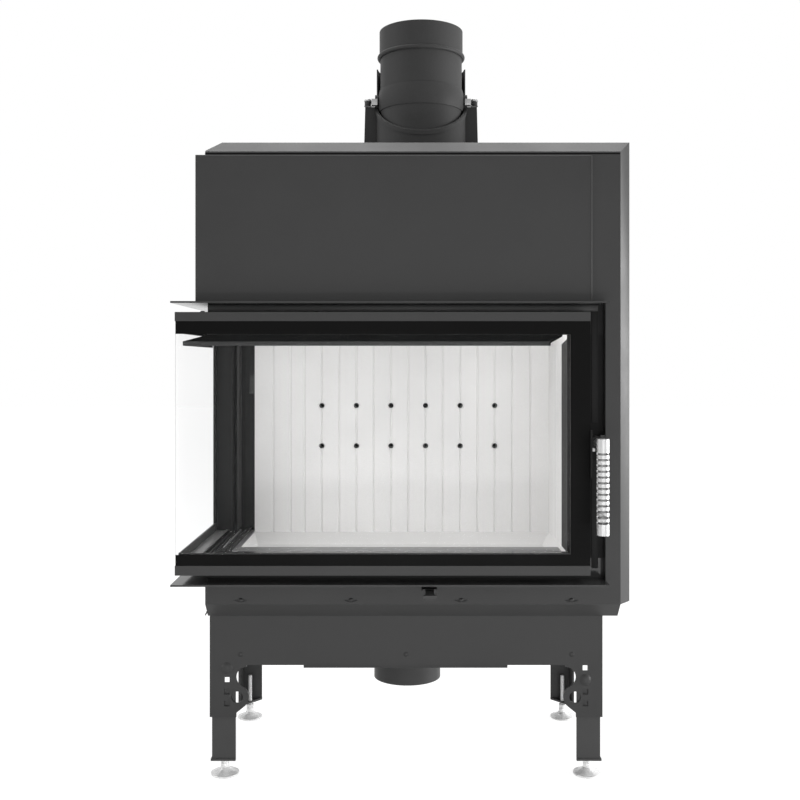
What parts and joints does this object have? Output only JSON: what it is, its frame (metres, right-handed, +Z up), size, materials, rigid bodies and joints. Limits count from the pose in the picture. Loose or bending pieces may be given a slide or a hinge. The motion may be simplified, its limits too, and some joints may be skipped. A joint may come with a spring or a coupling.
{
  "type": "corner fireplace insert",
  "caption": "Steel fireplace insert with an L-shaped glazed corner door, turning handle, telescopic legs, tilting flue spigot and combustion air slide.",
  "frame": {"origin": "on the floor, under the middle of the part's bounding box", "axes": "+Z up; the door faces -Y; the glazed side faces -X"},
  "size_m": [0.7624, 0.513, 1.331],
  "materials": {
    "steel_black": "matt heat-resistant paint",
    "steel_dark": "matt heat-resistant paint",
    "zinc_steel": "zinc plated",
    "polished_steel": "polished",
    "lining_board": "pressed vermiculite board",
    "clear_glass": "clear ceramic glass",
    "rope": "braided glass-fibre rope"
  },
  "bodies": {
    "body": {"leg_frame_front": "steel_black", "leg_frame_rear": "steel_black", "leg_frame_left": "steel_black", "leg_frame_right": "steel_black", "leg_bolts": "zinc_steel", "apron_screws": "steel_dark", "base_plenum": "steel_black", "air_box": "steel_black", "air_inlet": "steel_black", "front_frame": "steel_black", "panel_screws": "steel_dark", "hood_panel": "steel_black", "top_trim_plate": "steel_black", "bottom_trim_plate": "steel_black", "casing_right": "steel_black", "casing_rear": "steel_black", "casing_left": "steel_black", "casing_top": "steel_black", "firebox_shell": "steel_dark", "lintel_plate": "steel_dark", "sill_plate": "steel_dark", "jamb_plate": "steel_dark", "hinge_post": "steel_dark", "hinge_brackets": "steel_dark", "latch_keeper": "zinc_steel", "air_wash_deflector": "steel_dark", "lining_back_left": "lining_board", "lining_back_centre": "lining_board", "lining_back_right": "lining_board", "lining_side": "lining_board", "hearth_back_left": "lining_board", "hearth_back_right": "lining_board", "hearth_left": "lining_board", "hearth_right": "lining_board", "hearth_front": "lining_board", "hearth_floor": "lining_board", "baffle_board": "lining_board", "secondary_air_duct": "steel_dark", "flue_collar": "steel_black", "flue_pivot_bolts": "zinc_steel"},
    "door": {"front_glass": "clear_glass", "side_glass": "clear_glass", "door_top_rail": "steel_black", "door_bottom_rail": "steel_black", "hinge_stile": "steel_dark", "latch_stile": "steel_dark", "door_seal": "rope", "handle_bracket": "steel_black"},
    "handle": {"handle_grip": "polished_steel", "handle_lever": "zinc_steel"},
    "air_slide": {"air_control": "steel_dark"},
    "flue": {"flue_spigot": "steel_black"},
    "leg_front_left_body": {"leg_front_left": "steel_black"},
    "foot_front_left_body": {"foot_front_left": "polished_steel"},
    "leg_front_right_body": {"leg_front_right": "steel_black"},
    "foot_front_right_body": {"foot_front_right": "polished_steel"},
    "leg_rear_left_body": {"leg_rear_left": "steel_black"},
    "foot_rear_left_body": {"foot_rear_left": "polished_steel"},
    "leg_rear_right_body": {"leg_rear_right": "steel_black"},
    "foot_rear_right_body": {"foot_rear_right": "polished_steel"}
  },
  "joints": [
    {"name": "door_hinge", "type": "hinge", "parent": "body", "child": "door", "pos_m": [-0.36575, 0.1725, 0.571], "axis": [0, 0, 1], "range_deg": [-95, 0]},
    {"name": "handle_turn", "type": "hinge", "parent": "door", "child": "handle", "pos_m": [0.31625, -0.2465, 0.573], "axis": [0, -1, 0], "range_deg": [0, 60]},
    {"name": "air_slide_travel", "type": "slide", "parent": "body", "child": "air_slide", "axis": [0, 1, 0], "range_m": [0, 0.04]},
    {"name": "flue_tilt", "type": "hinge", "parent": "body", "child": "flue", "pos_m": [0.032, 0.0765, 1.199], "axis": [1, 0, 0], "range_deg": [0, 28]},
    {"name": "leg_front_left_slide", "type": "slide", "parent": "body", "child": "leg_front_left_body", "axis": [0, 0, -1], "range_m": [0, 0.06]},
    {"name": "foot_front_left_screw", "type": "slide", "parent": "leg_front_left_body", "child": "foot_front_left_body", "axis": [0, 0, -1], "range_m": [0, 0.03]},
    {"name": "leg_front_right_slide", "type": "slide", "parent": "body", "child": "leg_front_right_body", "axis": [0, 0, -1], "range_m": [0, 0.06]},
    {"name": "foot_front_right_screw", "type": "slide", "parent": "leg_front_right_body", "child": "foot_front_right_body", "axis": [0, 0, -1], "range_m": [0, 0.03]},
    {"name": "leg_rear_left_slide", "type": "slide", "parent": "body", "child": "leg_rear_left_body", "axis": [0, 0, -1], "range_m": [0, 0.06]},
    {"name": "foot_rear_left_screw", "type": "slide", "parent": "leg_rear_left_body", "child": "foot_rear_left_body", "axis": [0, 0, -1], "range_m": [0, 0.03]},
    {"name": "leg_rear_right_slide", "type": "slide", "parent": "body", "child": "leg_rear_right_body", "axis": [0, 0, -1], "range_m": [0, 0.06]},
    {"name": "foot_rear_right_screw", "type": "slide", "parent": "leg_rear_right_body", "child": "foot_rear_right_body", "axis": [0, 0, -1], "range_m": [0, 0.03]}
  ]
}
